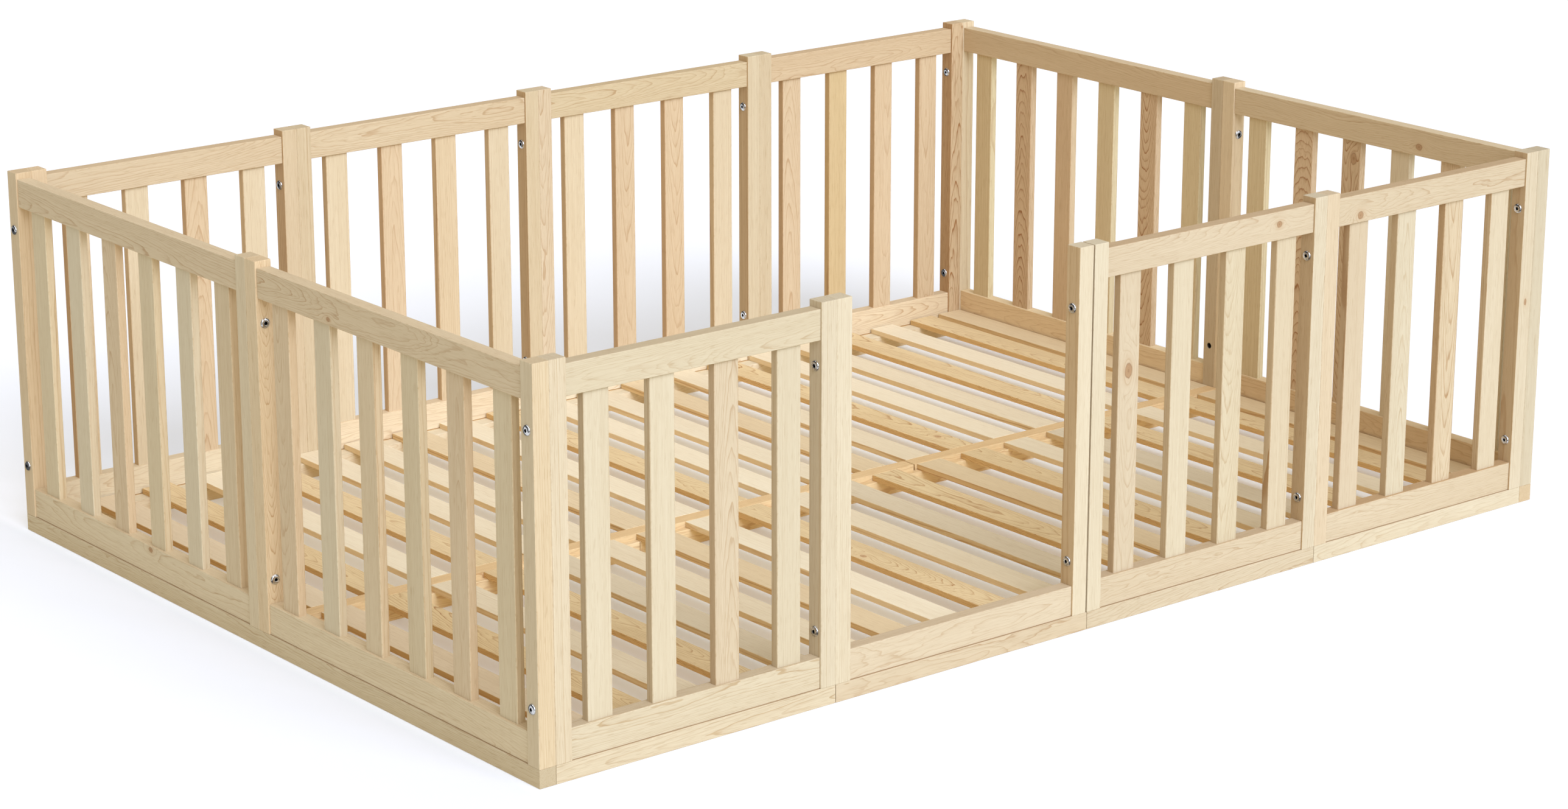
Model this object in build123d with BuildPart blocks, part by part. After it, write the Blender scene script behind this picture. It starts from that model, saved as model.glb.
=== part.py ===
"""Fenced floor bed / playpen in solid pine.

Twelve ready-made fence panels stand on a plinth round a slatted floor. Each
panel is two posts, a bottom rail, a top rail and pickets housed in the rails;
the entry panel on the front has posts and a bottom rail only. Neighbouring
panels are pulled together by socket-head bolts and barrel nuts. The slats lie
loose on ledges and lift out in two rows.

Frame: X along the long side, Y towards the back, Z up. The origin is on the
floor, in the middle of the plan. All sizes in millimetres.
"""
import os

from build123d import *

# ---------------------------------------------------------------- dimensions
STOCK = 28.0              # square stock of the posts and the plinth
INNER_L = 2000.0          # clear length inside the fence
INNER_W = 1400.0          # clear width inside the fence
LONG_PANEL = 500.0        # length of a long-side panel, four to a side
ENTRY_SLACK = 3.0         # the entry panel is this much shorter than its bay
POST_L = 580.0            # post length, standing on the plinth
EDGE_R = 2.0              # rounding of the long edges
POST_TOP_R = 1.5          # rounding of the post tops

PLINTH_H = 28.0
PLINTH_R = 1.5
PLINTH_SEAM = 1.0         # open seam between neighbouring plinth boards

RAIL_H = 46.0
RAIL_T = 23.0             # rails are set back from both faces of the posts
BOTTOM_RAIL_Z = 30.0      # underside, just clear of the plinth
TOP_RAIL_DROP = 10.0      # post tops stand this far above the top rail
MORTISE = 12.0            # how deep a picket is housed in a rail

PICKET_W = 43.0
PICKET_T = 14.0
PICKET_END_GAP = 32.5     # clear gap from a post to the first picket

BOLT_Z = (113.5, 512.5)   # heights of the two bolts in every joint
BOLT_D = 6.0
BOLT_L = 50.0             # under the head
BOLT_HEAD_D = 16.0
BOLT_HEAD_TOP_D = 9.6
BOLT_HEAD_H = 3.0
BOLT_SOCKET = 5.0         # across flats
BOLT_SOCKET_DEPTH = 2.6
BOLT_HOLE_D = 7.0
BOLT_END_HOLE_D = 6.6
BOLT_END_DEPTH = 24.0
NUT_D = 10.0
NUT_L = 14.0
NUT_HOLE_D = 10.4
NUT_HOLE_DEPTH = 21.5
NUT_THREAD_D = 6.2

DOWEL_D = 8.0
DOWEL_L = 30.0
DOWEL_HOLE_D = 8.2
DOWEL_HOLE_DEPTH = 15.5
DOWEL_PITCH = 24.0        # two dowels in every rail end

SLAT_W = 54.0
SLAT_T = 10.0
SLAT_PITCH = 100.0
SLAT_COUNT = 19           # evenly spaced slats, besides one close to each end
SLAT_END_CLEAR = 0.5
SLAT_CLEAR = 1.0          # from the plinth and from the beam
SLAT_R = 1.0

LEDGE_H = 28.0
SIDE_LEDGE_T = 28.0
CENTRE_LEDGE_T = 12.0
LEDGE_JOINT_X = -328.0    # where the centre ledges are butted
BEAM_T = 28.0
BEAM_JOINT = (266.0, 269.0)   # the two lengths of the beam stop short of meeting
BASE_CLEAR = 0.5          # beam and ledges inside the end plinths

SCREW_D = 4.5
SCREW_HEAD_D = 8.8
SCREW_HOLE_D = 4.8
SCREW_SINK_D = 9.4
SCREW_RECESS = 0.3
PLINTH_SCREW_L = 68.0
PLINTH_SCREW_INSET = 7.5  # from the outer end of the panel
SIDE_LEDGE_SCREW_L = 45.0
CENTRE_LEDGE_SCREW_L = 35.0

# ------------------------------------------------------------ derived sizes
OUTER_L = INNER_L + 2 * STOCK
OUTER_W = INNER_W + 2 * STOCK
SHORT_PANEL = OUTER_W / 2
HEIGHT = PLINTH_H + POST_L
TOP_RAIL_Z = HEIGHT - TOP_RAIL_DROP - RAIL_H
PICKET_L = TOP_RAIL_Z - BOTTOM_RAIL_Z - RAIL_H + 2 * MORTISE
PICKET_Z = BOTTOM_RAIL_Z + RAIL_H - MORTISE
SLAT_Z = LEDGE_H
SLAT_L = INNER_W / 2 - BEAM_T / 2 - 2 * SLAT_CLEAR
SLAT_Y = BEAM_T / 2 + SLAT_CLEAR + SLAT_L / 2
BEAM_H = LEDGE_H + SLAT_T
XI, XO = INNER_L / 2, OUTER_L / 2
YI, YO = INNER_W / 2, OUTER_W / 2
MID_X, MID_Y = (XI + XO) / 2, (YI + YO) / 2

os.makedirs("parts", exist_ok=True)

# name, corner of the panel at floor level, direction, length, pickets
PANELS = [
    ("front_1", (-XI, -YO), (1, 0, 0), LONG_PANEL, 4),
    ("entry", (-XI + LONG_PANEL, -YO), (1, 0, 0), LONG_PANEL - ENTRY_SLACK, 0),
    ("front_3", (-XI + 2 * LONG_PANEL, -YO), (1, 0, 0), LONG_PANEL, 4),
    ("front_4", (-XI + 3 * LONG_PANEL, -YO), (1, 0, 0), LONG_PANEL, 4),
    ("back_1", (-XI, YI), (1, 0, 0), LONG_PANEL, 4),
    ("back_2", (-XI + LONG_PANEL, YI), (1, 0, 0), LONG_PANEL, 4),
    ("back_3", (-XI + 2 * LONG_PANEL, YI), (1, 0, 0), LONG_PANEL, 4),
    ("back_4", (-XI + 3 * LONG_PANEL, YI), (1, 0, 0), LONG_PANEL, 4),
    ("left_1", (-XI, -YO), (0, 1, 0), SHORT_PANEL, 6),
    ("left_2", (-XI, 0.0), (0, 1, 0), SHORT_PANEL, 6),
    ("right_1", (XO, -YO), (0, 1, 0), SHORT_PANEL, 6),
    ("right_2", (XO, 0.0), (0, 1, 0), SHORT_PANEL, 6),
]
FRAMES = {
    name: Plane(origin=(x, y, 0), x_dir=direction, z_dir=(0, 0, 1))
    for name, (x, y), direction, length, count in PANELS
}

# Bolted joints: the post under the head, the post with the nut, the middle of
# the seat of the head, the way the bolt points, the gap between the posts, and
# the faces from which the lower and the upper nut go in.
ALONG_X, ALONG_Y = (1, 0, 0), (0, 1, 0)
JOINTS = [
    ("left_1", "front_1", (-XO, -MID_Y), ALONG_X, 0.0, (ALONG_Y, ALONG_Y)),
    ("front_1", "entry", (-XI + LONG_PANEL - STOCK, -MID_Y), ALONG_X, 0.0, (ALONG_Y, ALONG_Y)),
    ("entry", "front_3", (-XI + 2 * LONG_PANEL - ENTRY_SLACK - STOCK, -MID_Y), ALONG_X,
     ENTRY_SLACK, (ALONG_Y, ALONG_Y)),
    ("front_3", "front_4", (-XI + 3 * LONG_PANEL - STOCK, -MID_Y), ALONG_X, 0.0, (ALONG_Y, ALONG_Y)),
    ("front_4", "right_1", (XI - STOCK, -MID_Y), ALONG_X, 0.0, (ALONG_Y, ALONG_Y)),
    ("left_2", "back_1", (-XO, MID_Y), ALONG_X, 0.0, (ALONG_Y, ALONG_Y)),
    ("back_1", "back_2", (-XI + LONG_PANEL - STOCK, MID_Y), ALONG_X, 0.0, (ALONG_Y, ALONG_Y)),
    ("back_2", "back_3", (-XI + 2 * LONG_PANEL - STOCK, MID_Y), ALONG_X, 0.0, (ALONG_Y, ALONG_Y)),
    ("back_3", "back_4", (-XI + 3 * LONG_PANEL - STOCK, MID_Y), ALONG_X, 0.0, (ALONG_Y, ALONG_Y)),
    ("back_4", "right_2", (XI - STOCK, MID_Y), ALONG_X, 0.0, (ALONG_Y, ALONG_Y)),
    ("left_1", "left_2", (-MID_X, -STOCK), ALONG_Y, 0.0, (ALONG_X, ALONG_X)),
    ("right_1", "right_2", (MID_X, -STOCK), ALONG_Y, 0.0, ((-1, 0, 0), ALONG_X)),
]

# Where each bolt's head sits, where each nut lies, and every bore they need.
bolt_seats = []
nut_places = []
post_bores = {name: [] for name in FRAMES}
for head_post, nut_post, (hx, hy), way, gap, nut_faces in JOINTS:
    along = Vector(*way)
    for z, face in zip(BOLT_Z, nut_faces):
        seat = Vector(hx, hy, z)
        meet = seat + along * (STOCK + gap)
        middle = meet + along * (STOCK / 2)
        out = Vector(*face)
        bolt_seats.append(Plane(origin=seat, z_dir=along))
        nut_places.append(Plane(origin=middle, x_dir=along, z_dir=out))
        post_bores[head_post].append((seat, along, BOLT_HOLE_D, STOCK))
        post_bores[nut_post].append((meet, along, BOLT_END_HOLE_D, BOLT_END_DEPTH))
        mouth = middle + out * (STOCK / 2)
        post_bores[nut_post].append((mouth, out * -1, NUT_HOLE_D, NUT_HOLE_DEPTH))

dowel_places = []
plinth_screw_points = []

# ------------------------------------------------------------- fence panels
for name, corner, direction, length, count in PANELS:
    frame = FRAMES[name]
    along = Vector(*direction)
    rail_axis = Axis.X if direction[0] else Axis.Y
    rail_l = length - 2 * STOCK
    span = rail_l - 2 * PICKET_END_GAP - PICKET_W
    pickets_x = [
        STOCK + PICKET_END_GAP + PICKET_W / 2 + i * span / (count - 1) for i in range(count)
    ]
    rail_levels = [BOTTOM_RAIL_Z, TOP_RAIL_Z] if count else [BOTTOM_RAIL_Z]
    ends = [(STOCK, 1), (length - STOCK, -1)]
    screw_x = [PLINTH_SCREW_INSET, length - PLINTH_SCREW_INSET]
    for x in screw_x:
        plinth_screw_points.append(frame.from_local_coords((x, STOCK / 2, 0)))

    # two posts, bored for the bolts, the nuts, the dowels and the plinth screws
    with BuildPart() as posts:
        with BuildSketch(frame.offset(PLINTH_H)) as post_section:
            with Locations((STOCK / 2, STOCK / 2), (length - STOCK / 2, STOCK / 2)):
                Rectangle(STOCK, STOCK)
            fillet(post_section.vertices(), EDGE_R)
        extrude(amount=POST_L)
        fillet(posts.faces().sort_by(Axis.Z)[-2:].edges(), POST_TOP_R)
        for point, way, diameter, depth in post_bores[name]:
            with BuildSketch(Plane(origin=point, z_dir=way)):
                Circle(diameter / 2)
            extrude(amount=depth, mode=Mode.SUBTRACT)
        for x, inward in ends:
            for z in rail_levels:
                for dz in (-DOWEL_PITCH / 2, DOWEL_PITCH / 2):
                    point = frame.from_local_coords((x, STOCK / 2, z + RAIL_H / 2 + dz))
                    with BuildSketch(Plane(origin=point, z_dir=along * -inward)):
                        Circle(DOWEL_HOLE_D / 2)
                    extrude(amount=DOWEL_HOLE_DEPTH, mode=Mode.SUBTRACT)
        with BuildSketch(frame.offset(PLINTH_H)):
            with Locations(*[(x, STOCK / 2) for x in screw_x]):
                Circle(SCREW_HOLE_D / 2)
        extrude(amount=PLINTH_SCREW_L - PLINTH_H + 2, mode=Mode.SUBTRACT)
    posts.part.label = name + "_posts"
    export_step(posts.part, "parts/" + name + "_posts.step")

    # bottom and top rail, rounded along the grain, with housings for the pickets
    for level in rail_levels:
        top = level == TOP_RAIL_Z
        rail_name = name + ("_top_rail" if top else "_bottom_rail")
        with BuildPart() as rail:
            with BuildSketch(frame.offset(level)):
                with Locations((length / 2, STOCK / 2)):
                    Rectangle(rail_l, RAIL_T)
            extrude(amount=RAIL_H)
            fillet(rail.edges().filter_by(rail_axis), EDGE_R)
            if count:
                with BuildSketch(frame.offset(level if top else level + RAIL_H - MORTISE)):
                    with Locations(*[(x, STOCK / 2) for x in pickets_x]):
                        Rectangle(PICKET_W, PICKET_T)
                extrude(amount=MORTISE, mode=Mode.SUBTRACT)
            for x, inward in ends:
                for dz in (-DOWEL_PITCH / 2, DOWEL_PITCH / 2):
                    point = frame.from_local_coords((x, STOCK / 2, level + RAIL_H / 2 + dz))
                    dowel_places.append(Plane(origin=point, z_dir=along))
                    with BuildSketch(Plane(origin=point, z_dir=along * inward)):
                        Circle(DOWEL_HOLE_D / 2)
                    extrude(amount=DOWEL_HOLE_DEPTH, mode=Mode.SUBTRACT)
        rail.part.label = rail_name
        export_step(rail.part, "parts/" + rail_name + ".step")

    # pickets, housed in both rails
    if count:
        with BuildPart() as pickets:
            with BuildSketch(frame.offset(PICKET_Z)) as picket_section:
                with Locations(*[(x, STOCK / 2) for x in pickets_x]):
                    Rectangle(PICKET_W, PICKET_T)
                fillet(picket_section.vertices(), EDGE_R)
            extrude(amount=PICKET_L)
        pickets.part.label = name + "_pickets"
        export_step(pickets.part, "parts/" + name + "_pickets.step")

# ------------------------------------------------------------------- plinth
side_ledge_screw_x = [
    -XI + i * LONG_PANEL + at for i in range(4) for at in (0.25 * LONG_PANEL, 0.75 * LONG_PANEL)
]
for name, y_mid, inward in (("front_plinth", -MID_Y, 1), ("back_plinth", MID_Y, -1)):
    with BuildPart() as plinth:
        with BuildSketch():
            with Locations(*[(-XI + (i + 0.5) * LONG_PANEL, y_mid) for i in range(4)]):
                Rectangle(LONG_PANEL - PLINTH_SEAM, STOCK)
        extrude(amount=PLINTH_H)
        fillet(plinth.edges().filter_by(Axis.X), PLINTH_R)
        under = [p for p in plinth_screw_points if abs(p.Y - y_mid) < 1 and abs(p.X) < XI]
        with Locations(*[Plane(origin=p, z_dir=(0, 0, -1)) for p in under]):
            CounterSinkHole(SCREW_HOLE_D / 2, SCREW_SINK_D / 2, depth=PLINTH_H, counter_sink_angle=90)
        face_y = y_mid + inward * STOCK / 2
        with Locations(
            *[Plane(origin=(x, face_y, LEDGE_H / 2), z_dir=(0, inward, 0)) for x in side_ledge_screw_x]
        ):
            Hole(SCREW_HOLE_D / 2, depth=SIDE_LEDGE_SCREW_L - SIDE_LEDGE_T + 2)
    plinth.part.label = name
    export_step(plinth.part, "parts/" + name + ".step")

for name, x_mid, inward in (("left_plinth", -MID_X, 1), ("right_plinth", MID_X, -1)):
    with BuildPart() as end_plinth:
        with BuildSketch():
            with Locations((x_mid, 0)):
                Rectangle(STOCK, OUTER_W)
        extrude(amount=PLINTH_H)
        fillet(end_plinth.edges().filter_by(Axis.Y), PLINTH_R)
        under = [p for p in plinth_screw_points if abs(p.X - x_mid) < 1]
        with Locations(*[Plane(origin=p, z_dir=(0, 0, -1)) for p in under]):
            CounterSinkHole(SCREW_HOLE_D / 2, SCREW_SINK_D / 2, depth=PLINTH_H, counter_sink_angle=90)
        end_face = Plane(origin=(x_mid + inward * STOCK / 2, 0, PLINTH_H / 2), z_dir=(inward, 0, 0))
        with Locations(end_face):
            Hole(DOWEL_HOLE_D / 2, depth=DOWEL_HOLE_DEPTH)
    end_plinth.part.label = name
    export_step(end_plinth.part, "parts/" + name + ".step")

# ------------------------------------------------------- ledges and the beam
base_x = XI - BASE_CLEAR
ledge_screws_side = []
with BuildPart() as side_ledges:
    with BuildSketch():
        with Locations((0, -YI + SIDE_LEDGE_T / 2), (0, YI - SIDE_LEDGE_T / 2)):
            Rectangle(2 * base_x, SIDE_LEDGE_T)
    extrude(amount=LEDGE_H)
    for side in (-1, 1):
        y_face = side * (YI - SIDE_LEDGE_T)
        seats = [
            Plane(origin=(x, y_face, LEDGE_H / 2), z_dir=(0, -side, 0)) for x in side_ledge_screw_x
        ]
        ledge_screws_side += seats
        with Locations(*seats):
            CounterSinkHole(
                SCREW_HOLE_D / 2, SCREW_SINK_D / 2, depth=SIDE_LEDGE_T, counter_sink_angle=90
            )
side_ledges.part.label = "side_ledges"
export_step(side_ledges.part, "parts/side_ledges.step")

front_screw_x = (-950.0, -664.0, -378.0, -278.0, 50.0, 220.0, 320.0, 640.0, 950.0)
rear_screw_x = (-925.0, -639.0, -353.0, -253.0, 75.0, 245.0, 345.0, 665.0, 925.0)
centre_seats = [
    Plane(origin=(x, side * (BEAM_T / 2 + CENTRE_LEDGE_T), LEDGE_H / 2), z_dir=(0, side, 0))
    for side, places in ((-1, front_screw_x), (1, rear_screw_x))
    for x in places
]
ledge_lengths = ((-base_x, LEDGE_JOINT_X - 0.5), (LEDGE_JOINT_X + 0.5, base_x))
with BuildPart() as centre_ledges:
    with BuildSketch():
        for side in (-1, 1):
            for x0, x1 in ledge_lengths:
                with Locations(((x0 + x1) / 2, side * (BEAM_T + CENTRE_LEDGE_T) / 2)):
                    Rectangle(x1 - x0, CENTRE_LEDGE_T)
    extrude(amount=LEDGE_H)
    with Locations(*centre_seats):
        CounterSinkHole(
            SCREW_HOLE_D / 2, SCREW_SINK_D / 2, depth=CENTRE_LEDGE_T, counter_sink_angle=90
        )
centre_ledges.part.label = "centre_ledges"
export_step(centre_ledges.part, "parts/centre_ledges.step")

with BuildPart() as centre_beam:
    with BuildSketch():
        for x0, x1 in ((-base_x, BEAM_JOINT[0]), (BEAM_JOINT[1], base_x)):
            with Locations(((x0 + x1) / 2, 0)):
                Rectangle(x1 - x0, BEAM_T)
    extrude(amount=BEAM_H)
    fillet(centre_beam.faces().sort_by(Axis.Z)[-2:].edges().filter_by(Axis.X), SLAT_R)
    for side, places in ((-1, front_screw_x), (1, rear_screw_x)):
        with Locations(
            *[Plane(origin=(x, side * BEAM_T / 2, LEDGE_H / 2), z_dir=(0, side, 0)) for x in places]
        ):
            Hole(SCREW_HOLE_D / 2, depth=CENTRE_LEDGE_SCREW_L - CENTRE_LEDGE_T + 2)
    for side in (-1, 1):
        beam_end = Plane(origin=(side * base_x, 0, PLINTH_H / 2), z_dir=(side, 0, 0))
        with Locations(beam_end):
            Hole(DOWEL_HOLE_D / 2, depth=DOWEL_HOLE_DEPTH)
        dowel_places.append(Plane(origin=(side * XI, 0, PLINTH_H / 2), z_dir=(1, 0, 0)))
centre_beam.part.label = "centre_beam"
export_step(centre_beam.part, "parts/centre_beam.step")

# -------------------------------------------------------------------- slats
slat_end_x = XI - SLAT_END_CLEAR - SLAT_W / 2
slat_x = [-slat_end_x]
slat_x += [(i - (SLAT_COUNT - 1) / 2) * SLAT_PITCH for i in range(SLAT_COUNT)]
slat_x += [slat_end_x]

with BuildPart() as front_slats:
    with BuildSketch(Plane.XY.offset(SLAT_Z)):
        with Locations(*[(x, -SLAT_Y) for x in slat_x]):
            Rectangle(SLAT_W, SLAT_L)
    extrude(amount=SLAT_T)
    fillet(front_slats.edges().filter_by(Axis.Y), SLAT_R)
front_slats.part.label = "front_slats"
export_step(front_slats.part, "parts/front_slats.step")

with BuildPart() as rear_slats:
    with BuildSketch(Plane.XY.offset(SLAT_Z)):
        with Locations(*[(x, SLAT_Y) for x in slat_x]):
            Rectangle(SLAT_W, SLAT_L)
    extrude(amount=SLAT_T)
    fillet(rear_slats.edges().filter_by(Axis.Y), SLAT_R)
rear_slats.part.label = "rear_slats"
export_step(rear_slats.part, "parts/rear_slats.step")

# ---------------------------------------------------------------- fasteners
# one connector bolt along +Z: the underside of its low domed head lies on XY
with BuildPart() as bolt:
    with BuildSketch(Plane.XZ):
        with BuildLine():
            Polyline(
                (0, -BOLT_HEAD_H),
                (BOLT_HEAD_TOP_D / 2, -BOLT_HEAD_H),
            )
            ThreePointArc(
                (BOLT_HEAD_TOP_D / 2, -BOLT_HEAD_H),
                (BOLT_HEAD_D / 2 - 1.2, -BOLT_HEAD_H * 0.66),
                (BOLT_HEAD_D / 2, -0.5),
            )
            Polyline(
                (BOLT_HEAD_D / 2, -0.5),
                (BOLT_HEAD_D / 2, 0),
                (BOLT_D / 2, 0),
                (BOLT_D / 2, BOLT_L - 1),
                (BOLT_D / 2 - 1, BOLT_L),
                (0, BOLT_L),
                (0, -BOLT_HEAD_H),
            )
        make_face()
    revolve(axis=Axis.Z)
    with BuildSketch(Plane.XY.offset(-BOLT_HEAD_H)):
        RegularPolygon(BOLT_SOCKET / 2, 6, major_radius=False)
    extrude(amount=BOLT_SOCKET_DEPTH, mode=Mode.SUBTRACT)

with BuildPart() as bolts:
    with Locations(*bolt_seats):
        add(bolt.part)
bolts.part.label = "bolts"
export_step(bolts.part, "parts/bolts.step")

# one barrel nut along Z, tapped across along X
with BuildPart() as nut:
    Cylinder(NUT_D / 2, NUT_L)
    chamfer(nut.edges().filter_by(GeomType.CIRCLE), 0.6)
    with BuildSketch(Plane.YZ.offset(-NUT_D)):
        Circle(NUT_THREAD_D / 2)
    extrude(amount=2 * NUT_D, mode=Mode.SUBTRACT)
    with BuildSketch(Plane.XY.offset(NUT_L / 2)):
        Rectangle(NUT_D, 1.6)
    extrude(amount=-1.4, mode=Mode.SUBTRACT)

with BuildPart() as barrel_nuts:
    with Locations(*nut_places):
        add(nut.part)
barrel_nuts.part.label = "barrel_nuts"
export_step(barrel_nuts.part, "parts/barrel_nuts.step")

# one dowel along Z, centred on the joint
with BuildPart() as dowel:
    Cylinder(DOWEL_D / 2, DOWEL_L)
    chamfer(dowel.edges().filter_by(GeomType.CIRCLE), 1.0)

with BuildPart() as dowels:
    with Locations(*dowel_places):
        add(dowel.part)
dowels.part.label = "dowels"
export_step(dowels.part, "parts/dowels.step")


def countersunk_screw(length):
    """A wood screw along -Z, its flat head just below XY."""
    head = (SCREW_HEAD_D - SCREW_D) / 2
    with BuildPart() as screw:
        with BuildSketch(Plane.XZ):
            with BuildLine():
                Polyline(
                    (0, -SCREW_RECESS),
                    (SCREW_HEAD_D / 2, -SCREW_RECESS),
                    (SCREW_D / 2, -SCREW_RECESS - head),
                    (SCREW_D / 2, -SCREW_RECESS - length + 5),
                    (0.4, -SCREW_RECESS - length),
                    (0, -SCREW_RECESS - length),
                    (0, -SCREW_RECESS),
                )
            make_face()
        revolve(axis=Axis.Z)
        with BuildSketch(Plane.XY.offset(-SCREW_RECESS)):
            Rectangle(4.2, 0.9)
            Rectangle(0.9, 4.2)
        extrude(amount=-1.4, mode=Mode.SUBTRACT)
    return screw.part


plinth_screw = countersunk_screw(PLINTH_SCREW_L)
with BuildPart() as plinth_screws:
    with Locations(*[Plane(origin=p, z_dir=(0, 0, -1)) for p in plinth_screw_points]):
        add(plinth_screw)
plinth_screws.part.label = "plinth_screws"
export_step(plinth_screws.part, "parts/plinth_screws.step")

side_ledge_screw = countersunk_screw(SIDE_LEDGE_SCREW_L)
centre_ledge_screw = countersunk_screw(CENTRE_LEDGE_SCREW_L)
with BuildPart() as ledge_screws:
    with Locations(*ledge_screws_side):
        add(side_ledge_screw)
    with Locations(*centre_seats):
        add(centre_ledge_screw)
ledge_screws.part.label = "ledge_screws"
export_step(ledge_screws.part, "parts/ledge_screws.step")

print("outside", OUTER_L, OUTER_W, HEIGHT, "picket", PICKET_L, "slat", SLAT_L)
print("bolts", len(bolt_seats), "dowels", len(dowel_places), "plinth screws", len(plinth_screw_points))
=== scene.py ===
"""Playpen in raw pine: every board is remade as its own rounded, grained solid at its CAD place, in metres, in the shared frame."""

import math
import random
import zlib

import bpy
import numpy as np
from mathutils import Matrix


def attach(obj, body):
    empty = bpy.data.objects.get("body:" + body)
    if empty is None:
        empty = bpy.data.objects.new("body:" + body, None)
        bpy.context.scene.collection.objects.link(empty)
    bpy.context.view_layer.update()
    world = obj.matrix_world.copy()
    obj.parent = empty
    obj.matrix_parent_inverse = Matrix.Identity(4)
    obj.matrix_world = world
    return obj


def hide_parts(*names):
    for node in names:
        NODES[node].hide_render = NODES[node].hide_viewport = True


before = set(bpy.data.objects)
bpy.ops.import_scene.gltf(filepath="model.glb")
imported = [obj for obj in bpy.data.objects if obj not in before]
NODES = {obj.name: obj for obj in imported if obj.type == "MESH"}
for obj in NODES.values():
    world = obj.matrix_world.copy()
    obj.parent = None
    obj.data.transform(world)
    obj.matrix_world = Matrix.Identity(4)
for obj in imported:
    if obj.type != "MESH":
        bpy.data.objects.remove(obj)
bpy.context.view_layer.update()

MM = 0.001
BODY = {"front_slats": "front_slat_row", "rear_slats": "rear_slat_row"}
KEPT = ("barrel_nuts", "dowels", "plinth_screws", "ledge_screws")
BOLT_Z = (0.1135, 0.5125)


def srgb(r, g, b):
    """0-255 display colour to linear."""
    out = []
    for v in (r, g, b):
        v /= 255.0
        out.append(v / 12.92 if v <= 0.04045 else ((v + 0.055) / 1.055) ** 2.4)
    return (out[0], out[1], out[2], 1.0)


# --------------------------------------------------------------------------
# Boards found in the CAD nodes
# --------------------------------------------------------------------------


def boards_of(node):
    """Boxes (low corner, high corner) of the separate solids of a CAD node, sorted by place."""
    me = NODES[node].data
    co = np.empty(len(me.vertices) * 3, np.float32)
    me.vertices.foreach_get("co", co)
    co = co.reshape(-1, 3).astype(float)
    keys = np.round(co * 1e6).astype(np.int64)
    _, where = np.unique(keys, axis=0, return_inverse=True)
    where = where.reshape(-1)
    ends = np.empty(len(me.edges) * 2, np.int32)
    me.edges.foreach_get("vertices", ends)
    ends = where[ends.reshape(-1, 2)]
    up = list(range(int(where.max()) + 1))

    def root(i):
        while up[i] != i:
            up[i] = up[up[i]]
            i = up[i]
        return i

    for a, b in ends.tolist():
        a, b = root(a), root(b)
        if a != b:
            up[b] = a
    group = np.array([root(int(i)) for i in where])
    out = []
    for g in np.unique(group):
        pts = co[group == g]
        out.append((np.round(pts.min(0), 5), np.round(pts.max(0), 5)))
    out.sort(key=lambda b: tuple(np.round((b[0] + b[1]) / 2, 4)))
    return out


# --------------------------------------------------------------------------
# Rounded boards, with drilled holes where a board has them
# --------------------------------------------------------------------------


class Solid:
    """Vertices, faces and one normal per face corner, filled board by board."""

    def __init__(self):
        self.verts, self.faces, self.normals, self.data = [], [], [], {}

    def add(self, verts, faces, normals, **data):
        base = len(self.verts)
        self.verts.extend(map(tuple, verts))
        self.faces.extend(tuple(base + i for i in f) for f in faces)
        for n in normals:
            self.normals.extend(n)
        for name, values in data.items():
            self.data.setdefault(name, []).append(np.asarray(values, np.float32))

    def build(self, name, material):
        me = bpy.data.meshes.new(name)
        me.from_pydata(self.verts, [], self.faces)
        me.update()
        for key, parts in self.data.items():
            values = np.concatenate(parts)
            kind = "FLOAT" if values.ndim == 1 else "FLOAT_VECTOR"
            layer = me.attributes.new(key, kind, "POINT")
            layer.data.foreach_set(
                "value" if kind == "FLOAT" else "vector", values.reshape(-1)
            )
        me.polygons.foreach_set("use_smooth", [True] * len(me.polygons))
        me.normals_split_custom_set([tuple(map(float, n)) for n in self.normals])
        me.materials.append(material)
        ob = bpy.data.objects.new(name, me)
        bpy.context.scene.collection.objects.link(ob)
        return ob


RING = 28
ROUND = (0.0, math.tan(math.radians(15)), math.tan(math.radians(30)))


def lines(half, r, band, cuts):
    """Grid lines along one axis of a board: rounding, worn band, plain middle and extra cuts."""
    flat = half - r
    b = min(band, flat * 0.45)
    out = {-half, half, -flat, flat, -flat + b, flat - b}
    for t in ROUND[1:]:
        out |= {flat + r * t, -flat - r * t}
    for c in cuts:
        if abs(c) < flat - 1e-5:
            out.add(c)
    vals = sorted(out)
    keep = [vals[0]]
    for v in vals[1:]:
        if v - keep[-1] > 1e-6:
            keep.append(v)
    return keep


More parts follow.
